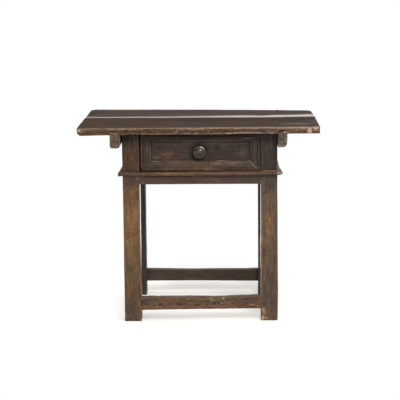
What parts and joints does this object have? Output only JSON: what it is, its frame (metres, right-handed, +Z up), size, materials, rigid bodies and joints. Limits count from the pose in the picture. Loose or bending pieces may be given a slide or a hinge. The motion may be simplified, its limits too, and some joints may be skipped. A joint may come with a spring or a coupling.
{
  "type": "tavern table",
  "caption": "Oblong plank-topped wooden table on square legs joined by low stretchers, with a sliding drawer under the top for storage.",
  "frame": {"origin": "on the floor under the middle of the top", "axes": "+X along the long side of the top, the drawer opens towards -Y, +Z up"},
  "size_m": [0.9, 0.59, 0.75],
  "materials": {
    "top_wood": "dark waxed, worn pale along the front edge",
    "batten_wood": "dark waxed, bare end grain",
    "frame_wood": "dark waxed, worn",
    "moulding_wood": "dark waxed, rubbed on the nose",
    "drawer_front_wood": "dark waxed",
    "inner_wood": "unfinished, dry",
    "peg_wood": "dark end grain",
    "wrought_iron": "dark, pitted",
    "aged_brass": "aged, dull"
  },
  "bodies": {
    "table": {"back_joint_pegs": "peg_wood", "back_rail": "frame_wood", "batten_pegs": "peg_wood", "drawer_runner_left": "inner_wood", "drawer_runner_right": "inner_wood", "drawer_stop_left": "inner_wood", "drawer_stop_nails": "wrought_iron", "drawer_stop_right": "inner_wood", "front_joint_pegs": "peg_wood", "front_rail": "frame_wood", "left_joint_pegs": "peg_wood", "leg_back_left": "frame_wood", "leg_back_right": "frame_wood", "leg_front_left": "frame_wood", "leg_front_right": "frame_wood", "moulding_front": "moulding_wood", "moulding_left": "moulding_wood", "moulding_pins": "wrought_iron", "moulding_right": "moulding_wood", "right_joint_pegs": "peg_wood", "side_rail_left": "frame_wood", "side_rail_right": "frame_wood", "stretcher_back": "frame_wood", "stretcher_front": "frame_wood", "stretcher_left": "frame_wood", "stretcher_right": "frame_wood", "top_back_board": "top_wood", "top_batten_left": "batten_wood", "top_batten_right": "batten_wood", "top_front_board": "top_wood", "top_lock_pegs": "peg_wood"},
    "drawer": {"drawer_back": "inner_wood", "drawer_bottom": "inner_wood", "drawer_front": "drawer_front_wood", "drawer_moulding_bottom": "drawer_front_wood", "drawer_moulding_left": "drawer_front_wood", "drawer_moulding_pins": "wrought_iron", "drawer_moulding_right": "drawer_front_wood", "drawer_moulding_top": "drawer_front_wood", "drawer_nails": "wrought_iron", "drawer_side_left": "inner_wood", "drawer_side_right": "inner_wood", "knob": "aged_brass", "knob_nut": "wrought_iron", "knob_rose": "aged_brass"}
  },
  "joints": [
    {"name": "drawer_slide", "type": "slide", "parent": "table", "child": "drawer", "axis": [0, -1, 0], "range_m": [0, 0.28]}
  ]
}
